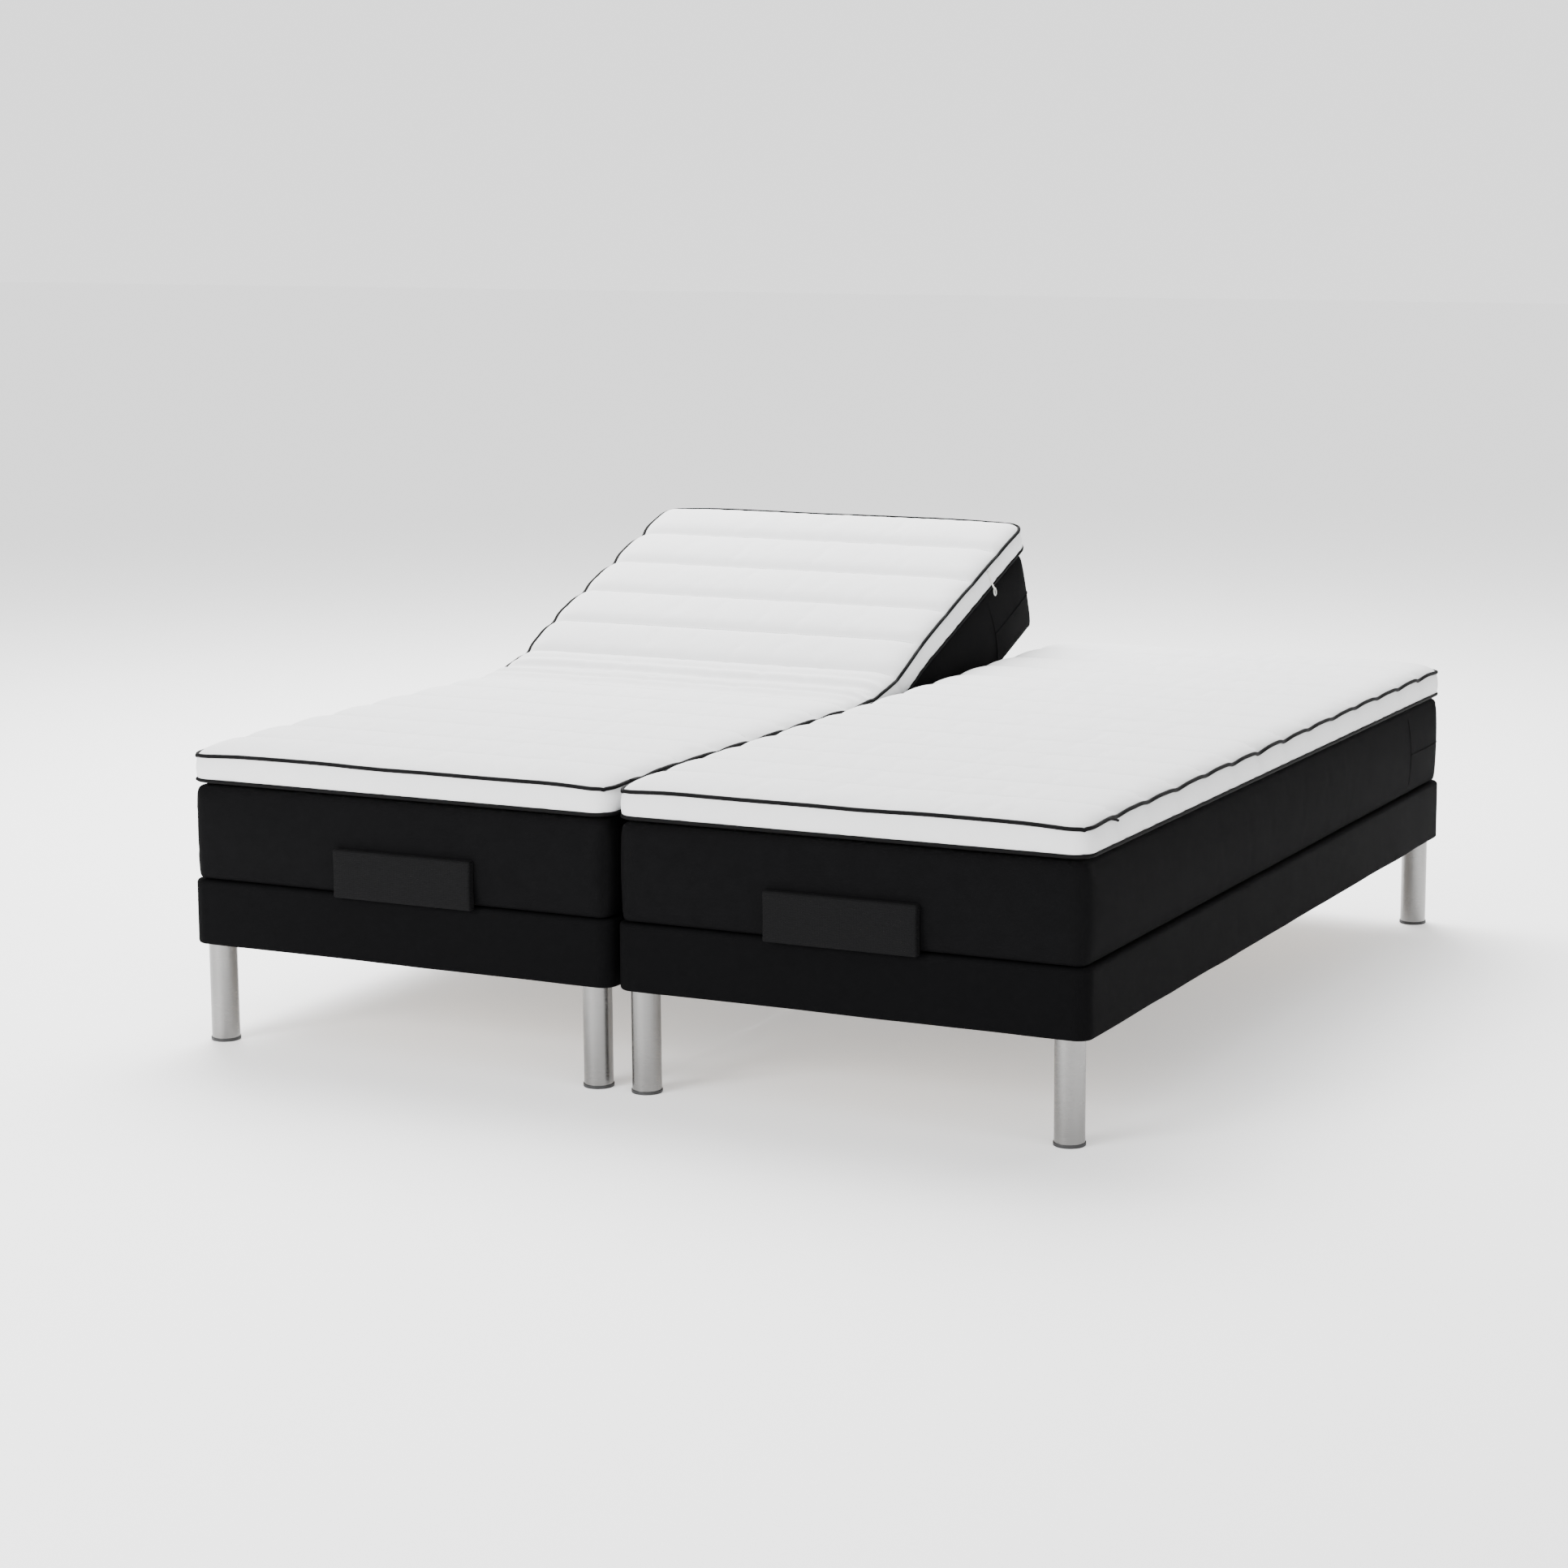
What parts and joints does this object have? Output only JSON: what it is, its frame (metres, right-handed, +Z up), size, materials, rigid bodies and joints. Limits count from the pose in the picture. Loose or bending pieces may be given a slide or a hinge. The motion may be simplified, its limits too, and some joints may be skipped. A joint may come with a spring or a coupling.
{
  "type": "adjustable bed base",
  "caption": "Double adjustable bed of two linked single bases on steel legs, with slatted motor lift frames, split mattress and quilted topper; one back section raised.",
  "frame": {"origin": "centre of the footprint on the floor, between the two units", "axes": "+X across the bed to the right seen from the foot, +Y from the foot to the head, +Z up"},
  "size_m": [1.804, 2.019, 0.8382],
  "materials": {
    "base_fabric": "woven upholstery fabric, near black",
    "mattress_fabric": "woven cover, near black",
    "topper_fabric": "quilted knitted cover, white",
    "leg_steel": "brushed steel",
    "frame_steel": "black powder coat",
    "zinc_steel": "bright zinc plated",
    "timber": "sawn spruce and chipboard",
    "slat_beech": "laminated beech, clear lacquer",
    "black_plastic": "moulded black plastic",
    "nylon": "natural nylon"
  },
  "bodies": {
    "base": {"side_rails": "timber", "end_rails": "timber", "corner_blocks": "timber", "leg_feet": "black_plastic", "leg_bolts": "zinc_steel", "link_plates": "zinc_steel", "carrier_blocks": "timber", "seat_slats": "slat_beech", "hinge_pins": "zinc_steel", "control_boxes": "black_plastic", "mattress_folds": "mattress_fabric", "topper_folds": "topper_fabric", "left_legs": "leg_steel", "left_base_cover": "base_fabric", "left_mechanism_frame": "frame_steel", "left_motor_unit": "black_plastic", "left_mattress_seat": "mattress_fabric", "left_topper_seat": "topper_fabric", "right_legs": "leg_steel", "right_base_cover": "base_fabric", "right_mechanism_frame": "frame_steel", "right_motor_unit": "black_plastic", "right_mattress_seat": "mattress_fabric", "right_topper_seat": "topper_fabric"},
    "left_back": {"left_back_frame": "frame_steel", "left_back_slats": "slat_beech", "left_mattress_head": "mattress_fabric", "left_topper_head": "topper_fabric"},
    "left_thigh": {"left_thigh_frame": "frame_steel", "left_thigh_slats": "slat_beech", "left_knee_pins": "zinc_steel", "left_mattress_thigh": "mattress_fabric", "left_topper_thigh": "topper_fabric"},
    "left_calf": {"left_calf_frame": "frame_steel", "left_calf_slats": "slat_beech", "left_mattress_calf": "mattress_fabric", "left_topper_calf": "topper_fabric", "left_retainer_panel": "base_fabric"},
    "left_back_lift": {"left_back_lift": "frame_steel", "left_back_lift_pads": "nylon"},
    "left_leg_lift": {"left_leg_lift": "frame_steel", "left_leg_lift_pads": "nylon"},
    "right_back": {"right_back_frame": "frame_steel", "right_back_slats": "slat_beech", "right_mattress_head": "mattress_fabric", "right_topper_head": "topper_fabric"},
    "right_thigh": {"right_thigh_frame": "frame_steel", "right_thigh_slats": "slat_beech", "right_knee_pins": "zinc_steel", "right_mattress_thigh": "mattress_fabric", "right_topper_thigh": "topper_fabric"},
    "right_calf": {"right_calf_frame": "frame_steel", "right_calf_slats": "slat_beech", "right_mattress_calf": "mattress_fabric", "right_topper_calf": "topper_fabric", "right_retainer_panel": "base_fabric"},
    "right_back_lift": {"right_back_lift": "frame_steel", "right_back_lift_pads": "nylon"},
    "right_leg_lift": {"right_leg_lift": "frame_steel", "right_leg_lift_pads": "nylon"}
  },
  "joints": [
    {"name": "left_back_tilt", "type": "hinge", "parent": "base", "child": "left_back", "pos_m": [-0.452, 0.1595, 0.283], "axis": [1, 0, 0], "range_deg": [-20.5, 39.5], "deforming": ["mattress_folds", "topper_folds"]},
    {"name": "left_thigh_tilt", "type": "hinge", "parent": "base", "child": "left_thigh", "pos_m": [-0.452, -0.1805, 0.283], "axis": [-1, 0, 0], "range_deg": [0, 30], "deforming": ["mattress_folds", "topper_folds"]},
    {"name": "left_knee_fold", "type": "hinge", "parent": "left_thigh", "child": "left_calf", "pos_m": [-0.452, -0.4905, 0.283], "axis": [-1, 0, 0], "range_deg": [-38.01, 0]},
    {"name": "left_back_lift_turn", "type": "hinge", "parent": "base", "child": "left_back_lift", "pos_m": [-0.452, 0.2195, 0.243], "axis": [1, 0, 0], "range_deg": [-22.6, 43.54]},
    {"name": "left_leg_lift_turn", "type": "hinge", "parent": "base", "child": "left_leg_lift", "pos_m": [-0.452, -0.2405, 0.243], "axis": [-1, 0, 0], "range_deg": [0, 37.1]},
    {"name": "right_back_tilt", "type": "hinge", "parent": "base", "child": "right_back", "pos_m": [0.452, 0.1595, 0.283], "axis": [1, 0, 0], "range_deg": [0, 60], "deforming": ["mattress_folds", "topper_folds"]},
    {"name": "right_thigh_tilt", "type": "hinge", "parent": "base", "child": "right_thigh", "pos_m": [0.452, -0.1805, 0.283], "axis": [-1, 0, 0], "range_deg": [0, 30], "deforming": ["mattress_folds", "topper_folds"]},
    {"name": "right_knee_fold", "type": "hinge", "parent": "right_thigh", "child": "right_calf", "pos_m": [0.452, -0.4905, 0.283], "axis": [-1, 0, 0], "range_deg": [-38.01, 0]},
    {"name": "right_back_lift_turn", "type": "hinge", "parent": "base", "child": "right_back_lift", "pos_m": [0.452, 0.2195, 0.243], "axis": [1, 0, 0], "range_deg": [0, 66.13]},
    {"name": "right_leg_lift_turn", "type": "hinge", "parent": "base", "child": "right_leg_lift", "pos_m": [0.452, -0.2405, 0.243], "axis": [-1, 0, 0], "range_deg": [0, 37.1]}
  ],
  "couplings": [
    {"joint": "left_knee_fold", "follows": "left_thigh_tilt", "ratio": -1.2667},
    {"joint": "left_back_lift_turn", "follows": "left_back_tilt", "ratio": 1.102},
    {"joint": "left_leg_lift_turn", "follows": "left_thigh_tilt", "ratio": 1.2363},
    {"joint": "right_knee_fold", "follows": "right_thigh_tilt", "ratio": -1.2667},
    {"joint": "right_back_lift_turn", "follows": "right_back_tilt", "ratio": 1.102},
    {"joint": "right_leg_lift_turn", "follows": "right_thigh_tilt", "ratio": 1.2363}
  ]
}
